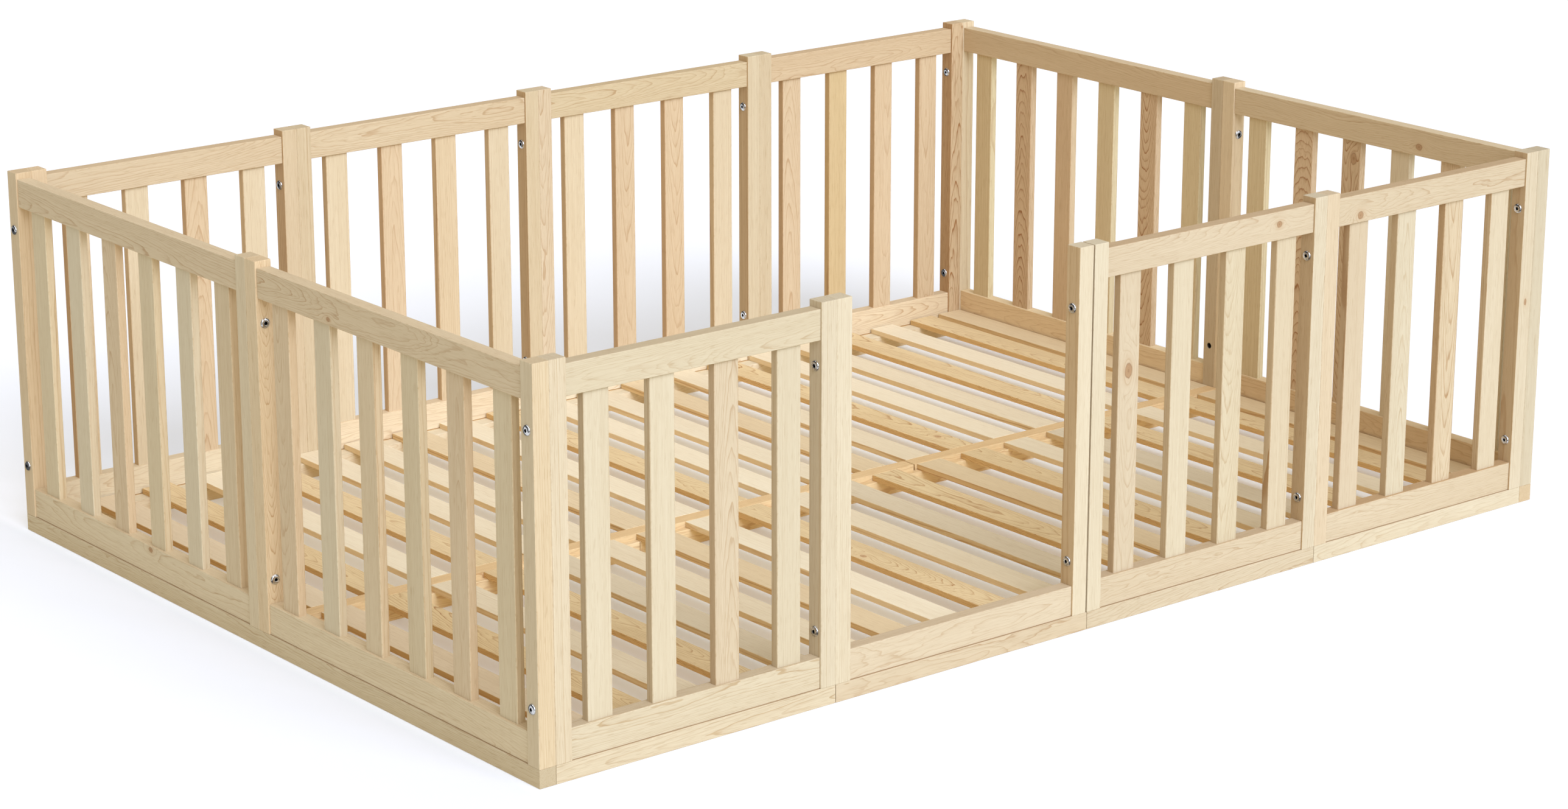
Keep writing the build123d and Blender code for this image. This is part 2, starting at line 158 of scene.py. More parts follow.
def rounded_board(lo, hi, r, band=0.0035, holes=()):
    """One board as (verts, faces, corner normals, vertex normals, edge factor, painted hole shade).

    holes: (axis, sign, centre point, radius, depth, closed) with the centre on that face."""
    c, h = (lo + hi) / 2, (hi - lo) / 2
    cuts = [[], [], []]
    for axis, sign, at, rad, depth, closed in holes:
        for k in range(3):
            if k != axis:
                cuts[k] += [at[k] - c[k] - 0.0072, at[k] - c[k] + 0.0072]
    grid = [lines(h[k], r, band, cuts[k]) for k in range(3)]
    flat = h - r
    verts, norms, edge, hole_shade, index = [], [], [], [], {}

    def vert(p):
        key = tuple(np.round(p * 1e7).astype(np.int64).tolist())
        if key in index:
            return index[key]
        inner = np.clip(p, -flat, flat)
        d = p - inner
        n = d / np.linalg.norm(d)
        q = inner + n * r
        onrim = sum(abs(p[k]) >= flat[k] - 1e-7 for k in range(3))
        soft = np.sort(np.abs(n))[1]
        index[key] = len(verts)
        verts.append(q + c)
        norms.append(n)
        edge.append(1.0 if soft > 0.05 else (0.5 if onrim > 1 else 0.0))
        hole_shade.append(0.0)
        return index[key]

    faces, corners = [], []
    for axis in range(3):
        u, v = [k for k in range(3) if k != axis]
        for sign in (-1, 1):
            pits = []
            for ha, hs, at, rad, depth, closed in holes:
                if ha == axis and hs == sign:
                    pits.append((at[u] - c[u], at[v] - c[v], rad, depth, closed))
            for i in range(len(grid[u]) - 1):
                for j in range(len(grid[v]) - 1):
                    u0, u1 = grid[u][i], grid[u][i + 1]
                    v0, v1 = grid[v][j], grid[v][j + 1]
                    if any(
                        u0 > pu - 0.0074
                        and u1 < pu + 0.0074
                        and v0 > pv - 0.0074
                        and v1 < pv + 0.0074
                        for pu, pv, *_ in pits
                    ):
                        continue
                    quad = []
                    for a, b in ((u0, v0), (u1, v0), (u1, v1), (u0, v1)):
                        p = np.zeros(3)
                        p[axis], p[u], p[v] = sign * h[axis], a, b
                        quad.append(vert(p))
                    turned = (sign > 0) != (axis == 1)
                    if not turned:
                        quad.reverse()
                    faces.append(tuple(quad))
                    corners.append([norms[k] for k in quad])
            for pu, pv, rad, depth, closed in pits:
                pit(
                    verts, norms, edge, hole_shade, faces, corners, vert, c, h,
                    axis, u, v, sign, pu, pv, rad, depth, closed, grid,
                )
    return np.array(verts), faces, corners, np.array(norms), np.array(edge), np.array(hole_shade)


def pit(verts, norms, edge, hole_shade, faces, corners, vert, c, h, axis, u, v, sign, pu, pv, rad, depth, closed, grid):
    """A drilled hole with a small countersunk lip in the square cell round (pu, pv), with painted shade on its walls
    and bottom.
    """
    out = np.zeros(3)
    out[axis] = sign
    turned = (sign > 0) != (axis == 1)

    def place(a, b, down):
        p = np.zeros(3)
        p[axis], p[u], p[v] = sign * (h[axis] - down), a, b
        return p

    def ring(radius, down, edge_value, hole_shade_value):
        ids = []
        for k in range(RING):
            t = 2 * math.pi * (k + 0.5) / RING - math.pi * 0.75
            verts.append(place(pu + radius * math.cos(t), pv + radius * math.sin(t), down) + c)
            norms.append(out.copy())
            edge.append(edge_value)
            hole_shade.append(hole_shade_value)
            ids.append(len(verts) - 1)
        return ids

    def radial(k, tilt):
        t = 2 * math.pi * (k + 0.5) / RING - math.pi * 0.75
        n = np.zeros(3)
        n[u], n[v] = -math.cos(t), -math.sin(t)
        n = n + out * tilt
        return n / np.linalg.norm(n)

    lip = 0.0004
    # painted shade down the hole: partly at the lip, full from the throat to the bottom
    mouth = ring(rad + lip, 0.0, 0.6, 0.0)
    waist = ring(rad, lip, 0.6, 0.35)
    throat = ring(rad, 0.0022, 0.0, 1.0)
    foot = ring(rad, depth, 0.0, 1.0)

    def put(ids, ns):
        if not turned:
            ids, ns = ids[::-1], ns[::-1]
        faces.append(tuple(ids))
        corners.append(ns)

    # the flat square round the mouth, one strip per side, through any grid points on the sides
    gu = [x for x in grid[u] if pu - 0.0073 <= x <= pu + 0.0073]
    gv = [x for x in grid[v] if pv - 0.0073 <= x <= pv + 0.0073]
    sides = [
        [(x, gv[0]) for x in gu],
        [(gu[-1], y) for y in gv],
        [(x, gv[-1]) for x in gu[::-1]],
        [(gu[0], y) for y in gv[::-1]],
    ]
    quarter = RING // 4
    for s, side in enumerate(sides):
        rim = [vert(place(a, b, 0.0)) for a, b in side]
        arc = [mouth[(s * quarter + k) % RING] for k in range(quarter)]
        ids = rim + arc[::-1]
        put(ids, [out] * len(ids))
        corner = rim[-1]
        ids = [corner, mouth[((s + 1) * quarter) % RING], arc[-1]]
        put(ids, [out] * 3)
    for k in range(RING):
        m = (k + 1) % RING
        put(
            [mouth[k], mouth[m], waist[m], waist[k]],
            [radial(k, 1.0), radial(m, 1.0), radial(m, 1.0), radial(k, 1.0)],
        )
        for a, b in ((waist, throat), (throat, foot)):
            put([a[k], a[m], b[m], b[k]], [radial(k, 0), radial(m, 0), radial(m, 0), radial(k, 0)])
    if closed:
        put(list(foot), [out] * RING)


# --------------------------------------------------------------------------
# What each board looks like: tone, figure, knots and painted light and shade
# --------------------------------------------------------------------------

# tone: 0 cream to 1 honey; pink: 0-1; line: strength of the growth rings;
# light: brightness, partly the board's own and partly painted light and shade where a board gets more or less lamp
# light;
# figure: how the board was sawn; sides: strength of the painted shade on the thin side faces, negative for painted
# light.
LOOKS = {
    ("front_1_top_rail", 0): dict(tone=0.24, pink=0.0, line=0.34, light=0.96, figure="wavy", sides=0.9),
    ("front_1_bottom_rail", 0): dict(tone=0.14, pink=0.05, line=0.55, light=1.0, figure="wavy"),
    ("front_1_pickets", 0): dict(tone=0.10, pink=0.0, line=0.30, figure="straight"),
    ("front_1_pickets", 1): dict(tone=0.14, pink=0.0, line=0.22, figure="straight"),
    ("front_1_pickets", 2): dict(tone=0.24, pink=0.45, line=0.46, figure="cathedral"),
    ("front_1_pickets", 3): dict(tone=0.12, pink=0.0, line=0.26, figure="straight"),
    ("front_1_posts", 0): dict(tone=0.22, pink=0.25, line=0.40, figure="straight"),
    ("front_1_posts", 1): dict(tone=0.12, pink=0.10, line=0.36, figure="straight"),
    ("entry_posts", 0): dict(tone=0.12, pink=0.08, line=0.38, figure="straight"),
    ("entry_posts", 1): dict(tone=0.10, pink=0.08, line=0.34, light=1.04, figure="straight"),
    ("left_1_posts", 0): dict(tone=0.18, pink=0.14, line=0.40, light=0.96, figure="straight"),
    ("front_3_posts", 0): dict(tone=0.06, pink=0.0, line=0.33, light=1.02, figure="straight"),
    ("front_3_posts", 1): dict(tone=0.06, pink=0.10, line=0.48, figure="wavy"),
    ("front_3_top_rail", 0): dict(tone=0.24, pink=0.46, line=0.36, light=0.97, figure="wavy", knots=[((0.395, -0.7255, 0.5775), 0.0050, 1.1)]),
    ("front_3_pickets", 0): dict(tone=0.20, pink=0.45, line=0.36, figure="cathedral", knots=[((0.0817, -0.721, 0.3965), 0.0074, 1.6)]),
    ("front_3_pickets", 1): dict(tone=0.12, pink=0.05, line=0.30, figure="straight"),
    ("front_3_pickets", 2): dict(tone=0.26, pink=0.0, line=0.42, figure="cathedral"),
    ("front_3_pickets", 3): dict(tone=0.20, pink=0.22, line=0.34, figure="straight"),
    ("front_4_posts", 0): dict(tone=0.30, pink=0.50, line=0.42, figure="straight"),
    ("front_4_posts", 1): dict(tone=0.12, pink=0.18, line=0.34, figure="straight", knots=[((0.9868, -0.728, 0.3533), 0.0028, 2.0)]),
    ("front_4_top_rail", 0): dict(tone=0.28, pink=0.40, line=0.42, light=0.96, figure="wavy", knots=[((0.5791, -0.7255, 0.5637), 0.0062, 1.0)]),
    ("front_4_pickets", 0): dict(tone=0.20, pink=0.50, line=0.30, figure="straight"),
    ("front_4_pickets", 1): dict(tone=0.08, pink=0.0, line=0.42, figure="cathedral"),
    ("front_4_pickets", 2): dict(tone=0.34, pink=0.38, line=0.70, figure="cathedral"),
    ("front_4_pickets", 3): dict(tone=0.12, pink=0.18, line=0.40, figure="straight"),
    ("right_1_posts", 0): dict(tone=0.12, pink=0.05, line=0.30, light=0.91, figure="straight"),
    ("right_1_top_rail", 0): dict(tone=0.52, pink=0.42, line=0.40, light=1.06, figure="wavy", knots=[((1.0025, -0.4655, 0.568), 0.0054, 1.3)]),
    ("right_1_pickets", 3): dict(tone=0.66, pink=0.80, line=0.90, light=1.02, figure="flame", knots=[((1.007, -0.3136, 0.520), 0.0070, 1.5)]),
    ("back_1_posts", 0): dict(tone=0.54, pink=0.50, line=0.40, light=1.20, figure="straight"),
    ("back_1_posts", 1): dict(tone=0.42, pink=0.30, line=0.40, light=1.08, figure="straight"),
    ("back_4_posts", 1): dict(tone=0.62, pink=0.55, line=0.95, light=1.10, figure="wavy", face=1),
    ("centre_beam", 0): dict(tone=0.78, pink=0.10, line=0.42, light=1.47, figure="wavy"),
    ("centre_beam", 1): dict(tone=0.80, pink=0.10, line=0.42, light=1.45, figure="wavy"),
    ("centre_ledges", 0): dict(tone=0.56, pink=0.0, line=0.45, light=1.46, figure="wavy"),
    ("centre_ledges", 1): dict(tone=0.62, pink=0.0, line=0.45, light=1.46, figure="wavy"),
    ("centre_ledges", 2): dict(tone=0.68, pink=0.0, line=0.45, light=1.44, figure="wavy"),
    ("centre_ledges", 3): dict(tone=0.60, pink=0.0, line=0.45, light=1.46, figure="wavy"),
    ("left_1_top_rail", 0): dict(tone=0.30, pink=0.40, line=0.52, light=0.97, figure="wavy", knots=[((-1.0255, -0.2203, 0.5611), 0.0034, 1.3)]),
    ("left_2_top_rail", 0): dict(tone=0.28, pink=0.40, line=0.46, light=0.97, figure="wavy"),
    ("left_1_posts", 1): dict(tone=0.34, pink=0.30, line=0.62, light=1.08, figure="cathedral", face=1, ring=0.45),
    ("left_1_bottom_rail", 0): dict(tone=0.20, pink=0.10, line=0.44, light=1.03, figure="wavy"),
    ("left_2_bottom_rail", 0): dict(tone=0.22, pink=0.15, line=0.44, light=1.0, figure="wavy", knots=[((-1.0255, 0.3253, 0.0696), 0.0042, 1.4)]),
    ("right_1_bottom_rail", 0): dict(tone=0.85, pink=0.60, line=0.36, light=1.20, figure="wavy"),
    ("right_2_bottom_rail", 0): dict(tone=0.74, pink=0.46, line=0.30, light=1.32, figure="wavy"),
    ("right_2_top_rail", 0): dict(tone=0.62, pink=0.55, line=0.34, light=1.05, figure="wavy"),
    ("right_2_posts", 0): dict(tone=0.47, pink=0.42, line=0.42, light=0.93, figure="straight"),
    ("right_1_posts", 1): dict(tone=0.42, pink=0.40, line=0.42, light=1.17, figure="straight"),
    ("right_2_posts", 1): dict(tone=0.30, pink=0.25, line=0.40, light=1.16, figure="straight"),
    ("left_2_posts", 1): dict(tone=0.36, pink=0.38, line=0.36, light=1.0, figure="straight"),
    ("front_3_bottom_rail", 0): dict(tone=0.20, pink=0.40, line=0.44, light=0.99, figure="wavy", sides=1.2),
    ("front_4_bottom_rail", 0): dict(tone=0.24, pink=0.40, line=0.42, light=0.98, figure="wavy", sides=2.6),
    ("front_plinth", 2): dict(tone=0.20, pink=0.30, line=0.42, light=0.96, figure="wavy"),
    ("front_plinth", 3): dict(tone=0.06, pink=0.06, line=0.34, light=1.02, figure="cathedral"),
    ("back_1_top_rail", 0): dict(tone=0.44, pink=0.38, line=0.42, figure="wavy"),
    ("back_4_top_rail", 0): dict(tone=0.54, pink=0.50, line=0.44, figure="wavy"),
    ("back_plinth", 3): dict(tone=1.0, pink=0.30, line=0.44, light=1.17, figure="wavy"),
    ("left_plinth", 0): dict(tone=0.30, pink=0.0, line=0.60, light=0.93, figure="wavy"),
    ("front_plinth", 0): dict(tone=0.12, pink=0.12, line=0.55, light=1.03, figure="cathedral"),
    ("front_plinth", 1): dict(tone=0.26, pink=0.42, line=0.40, figure="wavy"),
}

SLAT_ORDER = {
    "front_slats": "tan pink honey cream honey grey cream tan pale honey cream grey honey tan honey cream grey honey pale honey tan",
    "rear_slats": "tan pink honey pale honey cream cream tan pale honey pale cream tan cream honey pale cream honey pale honey tan",
}
SLAT_KINDS = {
    "pale": dict(tone=0.02, pink=0.10, line=0.26, light=1.05, figure="straight"),
    "cream": dict(tone=0.14, pink=0.14, line=0.34, light=1.01, figure="straight"),
    "grey": dict(tone=0.14, pink=0.20, line=0.40, light=0.885, figure="straight"),
    "pink": dict(tone=0.26, pink=0.50, line=0.36, light=0.99, figure="straight"),
    "tan": dict(tone=0.58, pink=0.22, line=0.42, light=0.97, figure="straight"),
    "honey": dict(tone=0.88, pink=0.12, line=0.66, light=1.01, figure="cathedral"),
}
SLAT_KNOTS = {
    ("rear_slats", 14): [((0.4059, 0.0837, 0.036), 0.0046, 1.5)],
    ("front_slats", 9): [((-0.1140, -0.3313, 0.036), 0.0042, 1.5)],
}

PICKET_KINDS = {
    "cream": dict(tone=0.12, pink=0.10, line=0.36, figure="straight"),
    "grey": dict(tone=0.04, pink=0.0, line=0.34, light=0.97, figure="straight"),
    "olive": dict(tone=0.26, pink=0.0, line=0.38, figure="straight"),
    "rosy": dict(tone=0.32, pink=0.55, line=0.42, figure="cathedral"),
    "tan": dict(tone=0.28, pink=0.28, line=0.42, figure="straight"),
    "gold": dict(tone=0.72, pink=0.0, line=0.46, figure="straight"),
    "rust": dict(tone=0.66, pink=0.75, line=0.55, figure="straight"),
    "flame": dict(tone=0.68, pink=0.85, line=0.95, figure="flame"),
}
PICKET_ORDER = {
    "left_1_pickets": "olive rosy olive tan grey rosy",
    "left_2_pickets": "tan grey olive rosy grey olive",
    "right_1_pickets": "tan rust tan flame flame gold",
    "right_2_pickets": "gold flame gold rust flame gold",
    "back_1_pickets": "tan cream rosy cream",
    "back_2_pickets": "cream rosy tan cream",
    "back_3_pickets": "cream rosy rosy cream",
    "back_4_pickets": "rosy gold rosy rosy",
}


def looks(node, i, lo, hi, rnd):
    """Tone, figure and painted light and shade of one board. Everything random comes from rnd, seeded by name."""
    kind = "post" if "posts" in node else "picket" if "pickets" in node else "rail"
    tone = rnd.uniform(0.06, 0.30)
    pink = rnd.choice((0.0, 0.05, 0.15, 0.3, 0.45))
    line = rnd.uniform(0.30, 0.58)
    light = rnd.uniform(0.97, 1.02)
    if kind == "rail":
        figure = rnd.choice(("wavy", "cathedral", "wavy"))
    else:
        figure = rnd.choice(("straight", "straight", "cathedral", "straight"))
    # painted light and shade: right-side and back boards get a warmer tone for the warm shade on their inner faces;
    # back, low, right-post and ledge boards get a higher light where the fence keeps the lamp off them; the centre
    # ledges and back plinth are deep orange, partly their own colour and partly painted warm shade under the slats
    if node.startswith("right"):
        tone, pink, light = tone + 0.30, min(0.6, pink + 0.25), light * 1.05
    if node.startswith("back"):
        tone, light = tone + (-0.04 if "bottom" in node else 0.20), light * (1.32 if "bottom" in node else 1.08)
    if "bottom" in node and node.startswith(("left", "right")):
        light = light * 1.10
    if node.startswith("right") and "posts" in node:
        light = light * 1.07
    if "ledges" in node or node == "back_plinth":
        tone, pink, light = (0.12, 0.0, 1.22) if node == "side_ledges" else (0.92, 0.2, 1.17)
    # sides: strength of the painted shade on the thin side faces (and on the ±X faces of front, back and entry posts);
    # negative values paint them lighter
    sides = 1.2
    if node.startswith(("left", "right")):
        sides = -0.6 if "top_rail" in node else -1.0 if "bottom" in node and node[0] == "r" else -1.3 if node[0] == "r" else 0.0
    elif "rail" in node:
        sides = 1.7 if node.startswith("front") and "top" in node else 0.9
    elif "pickets" in node:
        sides = 2.3 if node.startswith("back") else 1.1 if "_1_" in node else 2.0 if "_4_" in node else 1.6
    elif "posts" in node:
        sides = 0.0 if i == 0 else 0.5 if node == "front_1_posts" else 2.3
    elif node == "centre_beam":
        sides = 1.35
    d = dict(tone=tone, pink=pink, line=line, light=light, figure=figure, knots=[], sides=sides)
    if node in PICKET_ORDER:
        d.update(PICKET_KINDS[PICKET_ORDER[node].split()[i]])
        # painted light and shade: back and right pickets get a higher light, and back pickets a warmer tone
        d["light"] *= 1.07 if node.startswith("back") else 1.04 if node.startswith("right") else 1.0
        d["tone"] += rnd.uniform(-0.04, 0.04) + (0.14 if node.startswith("back") else 0.0)
    if "slats" in node:
        kind = SLAT_ORDER[node].split()[i]
        d.update(SLAT_KINDS[kind])
        d["tone"] += rnd.uniform(-0.05, 0.06)
        d["line"] *= rnd.uniform(0.8, 1.15)
        # painted shade on the slat sides, by kind
        d["sides"] = dict(pale=1.05, cream=1.3, grey=1.45, pink=2.2, tan=1.35, honey=1.4)[kind]
        if node == "rear_slats":
            d["tone"], d["light"] = max(0.0, d["tone"] - 0.05), d["light"] * 1.015
        d["knots"] = SLAT_KNOTS.get((node, i), [])
    d.update(LOOKS.get((node, i), {}))
    # painted shade: left-side boards, which turn away from the lamp, are a little darker
    if node.startswith("left"):
        d["light"] *= 0.96
    if node.startswith(("front", "entry")) and "posts" in node:
        d["light"], d["tone"] = d["light"] * 1.03, max(0.0, d["tone"] - 0.05)
    return d


def dress(node, i, lo, hi, pos, nrm):
    """Vertex data of one board: place in the log, tone, ring spacing, knot and end grain, and the masks of painted
    shade on thin side faces and painted light on left-side faces.
    """
    rnd = random.Random(zlib.crc32(("%s/%d" % (node, i)).encode()))
    d = looks(node, i, lo, hi, rnd)
    size = hi - lo
    g = int(np.argmax(size))
    rest = [k for k in range(3) if k != g]
    if "face" in d:
        t = d["face"]
    elif abs(size[rest[0]] - size[rest[1]]) < 1e-4:
        # square stock: the face that shows is the front or the side
        if node.startswith(("left", "right")):
            t = 0 if 0 in rest else rest[0]
        else:
            t = 1 if 1 in rest else rest[1]
    else:
        t = rest[0] if size[rest[0]] < size[rest[1]] else rest[1]
    w = [k for k in rest if k != t][0]
    mid = (lo + hi) / 2
    x, a, b = (pos[:, k] - mid[k] for k in (g, w, t))
    figure = d["figure"]
    side = rnd.choice((-1, 1))
    if figure == "straight":
        phi = math.radians(rnd.uniform(0, 28)) * rnd.choice((-1, 1))
        far = rnd.uniform(0.09, 0.20)
        spacing = rnd.uniform(0.0019, 0.0032)
        slope_w, slope_t = rnd.uniform(-0.004, 0.004), rnd.uniform(-0.010, 0.010)
        warp = rnd.uniform(0.0012, 0.0026)
    elif figure == "flame":
        phi = math.radians(90 + rnd.uniform(-5, 5))
        far = rnd.uniform(0.044, 0.054)
        spacing = rnd.uniform(0.0017, 0.0021)
        slope_w = rnd.uniform(-0.006, 0.006)
        slope_t = rnd.choice((-1, 1)) * rnd.uniform(0.085, 0.125)
        warp = rnd.uniform(0.0040, 0.0056)
    elif figure == "cathedral":
        phi = math.radians(90 + rnd.uniform(-14, 14))
        far = rnd.uniform(0.030, 0.060)
        spacing = rnd.uniform(0.0016, 0.0024)
        slope_w = rnd.uniform(-0.008, 0.008)
        slope_t = rnd.choice((-1, 1)) * rnd.uniform(0.018, 0.045)
        warp = rnd.uniform(0.0030, 0.0050)
    else:
        phi = math.radians(90 + rnd.uniform(-30, 30))
        far = rnd.uniform(0.045, 0.090)
        spacing = rnd.uniform(0.0016, 0.0025)
        slope_w = rnd.uniform(-0.02, 0.02)
        slope_t = rnd.choice((-1, 1)) * rnd.uniform(0.010, 0.030)
        warp = rnd.uniform(0.0045, 0.0075)
    if figure in ("cathedral", "wavy"):
        spacing *= 0.86
    spacing *= d.get("ring", 1.0)
    n = len(pos)
    gp = np.empty((n, 3))
    gp[:, 0] = x + rnd.uniform(-40, 40)
    gp[:, 1] = a + side * far * math.cos(phi) + slope_w * x
    gp[:, 2] = b + far * math.sin(phi) + slope_t * x
    bv = np.tile([d["tone"], d["pink"], d["line"]], (n, 1))
    bw = np.tile([1.0 / spacing, d["light"], warp], (n, 1))
    kp = np.tile([400.0, 400.0, 0.01], (n, 1))
    for at, radius, stretch in d["knots"]:
        at = np.array(at)
        kp[:, 0] = (pos[:, g] - at[g]) / (radius * stretch)
        kp[:, 1] = (pos[:, w] - at[w]) / radius
        kp[:, 2] = radius
    # painted shade on the thin side faces, or on the ±X faces of front, back and entry posts, scaled by sides
    if size[w] > size[t] + 1e-4:
        side_shade_amount = nrm[:, w] ** 2
    elif "posts" in node and not node.startswith(("left", "right")):
        side_shade_amount = nrm[:, 0] ** 2
    else:
        side_shade_amount = np.zeros(n)
    side_shade_amount = side_shade_amount * d["sides"]
    # painted light: left-side boards are lighter and warmer on their top and bottom faces and, except on rails, their
    # front and back faces, which catch the lamp
    warm = np.zeros(n)
    if node.startswith("left") and "plinth" not in node:
        warm = np.clip(nrm[:, 2] ** 2 + (nrm[:, 1] ** 2 if "rail" not in node else 0.0), 0.0, 1.0)
    return dict(gp=gp, bv=bv, bw=bw, kp=kp, eg=nrm[:, g] ** 2, painted_side_shade=side_shade_amount, wf=warm)


def holes_for(lo, hi):
    """Bolt and nut holes of one post, from where it stands."""
    c = (lo + hi) / 2
    out = []

    def on(axis, sign, z, rad, depth, closed):
        at = c.copy()
        at[2] = z
        at[axis] = hi[axis] if sign > 0 else lo[axis]
        out.append((axis, sign, at, rad, depth, closed))

    def near(value, wanted):
        return any(abs(value - x) < 0.0015 for x in wanted)

    front, back = abs(c[1] + 0.714) < 0.002, abs(c[1] - 0.714) < 0.002
    for z in BOLT_Z:
        if front or back:
            if near(c[0], (-1.014, -0.514, -0.017 if front else -0.014, 0.486, 0.986)):
                on(0, -1, z, 0.0033, 0.014, False)
                on(0, 1, z, 0.0033, 0.014, False)
            if near(c[0], (-0.986, -0.486, 0.014, 0.514, 1.014)):
                on(0, -1, z, 0.0033, 0.0085, True)
                on(1, 1, z, 0.0052, 0.0215, True)
        elif near(c[1], (-0.014,)):
            on(1, -1, z, 0.0033, 0.014, False)
            on(1, 1, z, 0.0033, 0.014, False)
        elif near(c[1], (0.014,)):
            on(1, -1, z, 0.0033, 0.0085, True)
            if c[0] < 0 or z > 0.3:
                on(0, 1, z, 0.0052, 0.0215, True)
            else:
                on(0, -1, z, 0.0052, 0.0215, True)
    return out


# --------------------------------------------------------------------------
# Shader building
# --------------------------------------------------------------------------


class Graph:
    """Short names for shader nodes; a number or tuple goes straight on the socket."""

    def __init__(self, tree):
        self.tree = tree
        tree.nodes.clear()

    def node(self, kind, **props):
        n = self.tree.nodes.new(kind)
        for k, v in props.items():
            setattr(n, k, v)
        return n

    def put(self, socket, value):
        if isinstance(value, bpy.types.NodeSocket):
            self.tree.links.new(value, socket)
        elif value is not None:
            socket.default_value = value

    def m(self, op, a, b=None, c=None, clamp=False):
        n = self.node("ShaderNodeMath", operation=op, use_clamp=clamp)
        for s, v in zip(n.inputs, (a, b, c)):
            self.put(s, v)
        return n.outputs[0]

    def add(self, a, b):
        return self.m("ADD", a, b)

    def mul(self, a, b):
        return self.m("MULTIPLY", a, b)

    def sub(self, a, b):
        return self.m("SUBTRACT", a, b)

    def mad(self, a, b, c):
        return self.m("MULTIPLY_ADD", a, b, c)

    def step(self, x, lo, hi):
        n = self.node("ShaderNodeMapRange", interpolation_type="SMOOTHSTEP")
        for s, v in zip(n.inputs, (x, lo, hi, 0.0, 1.0)):
            self.put(s, v)
        return n.outputs[0]

    def bell(self, x, centre, width):
        d = self.mul(self.sub(x, centre), 1.0 / width)
        return self.m("EXPONENT", self.mul(self.mul(d, d), -1.0))

    def vec(self, x, y, z):
        n = self.node("ShaderNodeCombineXYZ")
        for s, v in zip(n.inputs, (x, y, z)):
            self.put(s, v)
        return n.outputs[0]

    def parts(self, v):
        n = self.node("ShaderNodeSeparateXYZ")
        self.put(n.inputs[0], v)
        return n.outputs[0], n.outputs[1], n.outputs[2]

    def attr(self, name):
        n = self.node("ShaderNodeAttribute", attribute_name=name)
        n.attribute_type = "GEOMETRY"
        return n

    def scaled(self, v, s):
        n = self.node("ShaderNodeVectorMath", operation="MULTIPLY")
        self.put(n.inputs[0], v)
        self.put(n.inputs[1], s)
        return n.outputs[0]

    def noise(self, v, scale=1.0, detail=2.0, rough=0.5, twist=0.0):
        n = self.node("ShaderNodeTexNoise", noise_dimensions="3D")
        self.put(n.inputs["Vector"], v)
        n.inputs["Scale"].default_value = scale
        n.inputs["Detail"].default_value = detail
        n.inputs["Roughness"].default_value = rough
        n.inputs["Distortion"].default_value = twist
        return n.outputs["Fac"] if "Fac" in n.outputs else n.outputs[0], n.outputs["Color"]

    def noise1(self, x, scale=1.0, detail=1.0):
        n = self.node("ShaderNodeTexNoise", noise_dimensions="1D")
        self.put(n.inputs["W"], x)
        n.inputs["Scale"].default_value = scale
        n.inputs["Detail"].default_value = detail
        return n.outputs[0]

    def white(self, x):
        n = self.node("ShaderNodeTexWhiteNoise", noise_dimensions="1D")
        self.put(n.inputs["W"], x)
        return n.outputs["Value"]

    def ramp(self, fac, stops):
        n = self.node("ShaderNodeValToRGB")
        n.color_ramp.interpolation = "LINEAR"
        els = n.color_ramp.elements
        while len(els) < len(stops):
            els.new(0.5)
        for e, (p, v) in zip(els, stops):
            e.position = p
            e.color = v if isinstance(v, tuple) else (v, v, v, 1.0)
        self.put(n.inputs[0], fac)
        return n.outputs["Color"]

    def mix(self, fac, a, b, how="MIX"):
        n = self.node("ShaderNodeMix", data_type="RGBA", blend_type=how)
        self.put(n.inputs[0], fac)
        self.put(n.inputs[6], a)
        self.put(n.inputs[7], b)
        return n.outputs[2]

    def tint(self, col, v):
        """Colour times a grey value or colour."""
        n = self.node("ShaderNodeVectorMath", operation="MULTIPLY")
        self.put(n.inputs[0], col)
        if isinstance(v, tuple):
            self.put(n.inputs[1], v[:3])
        elif isinstance(v, bpy.types.NodeSocket):
            self.put(n.inputs[1], v if v.type in ("VECTOR", "RGBA") else self.vec(v, v, v))
        else:
            self.put(n.inputs[1], (v, v, v))
        return n.outputs[0]

    def finish(self, base, rough, height=None, strength=0.3, distance=0.0005, **extra):
        p = self.node("ShaderNodeBsdfPrincipled")
        self.put(p.inputs["Base Color"], base)
        self.put(p.inputs["Roughness"], rough)
        for k, v in extra.items():
            self.put(p.inputs[k.replace("_", " ")], v)
        if height is not None:
            b = self.node("ShaderNodeBump")
            b.inputs["Strength"].default_value = strength
            b.inputs["Distance"].default_value = distance
            self.put(b.inputs["Height"], height)
            self.tree.links.new(b.outputs[0], p.inputs["Normal"])
        o = self.node("ShaderNodeOutputMaterial")
        self.tree.links.new(p.outputs[0], o.inputs[0])


def new_material(name):
    m = bpy.data.materials.new(name)
    m.use_nodes = True
    return m, Graph(m.node_tree)


# colours as they look in full front light; GAIN takes that light out again
PALETTE = {
    "cream": srgb(241, 228, 200),
    "cream_late": srgb(206, 172, 122),
    "honey": srgb(233, 207, 156),
    "honey_late": srgb(178, 124, 68),
    "pink": srgb(241, 221, 192),
    "pink_late": srgb(200, 154, 108),
    "rust": srgb(229, 189, 144),
    "rust_late": srgb(168, 106, 60),
    "knot": srgb(206, 164, 120),
    "knot_dark": srgb(150, 102, 62),
    "halo": srgb(222, 182, 136),
}
GAIN = (0.693, 0.703, 0.715)


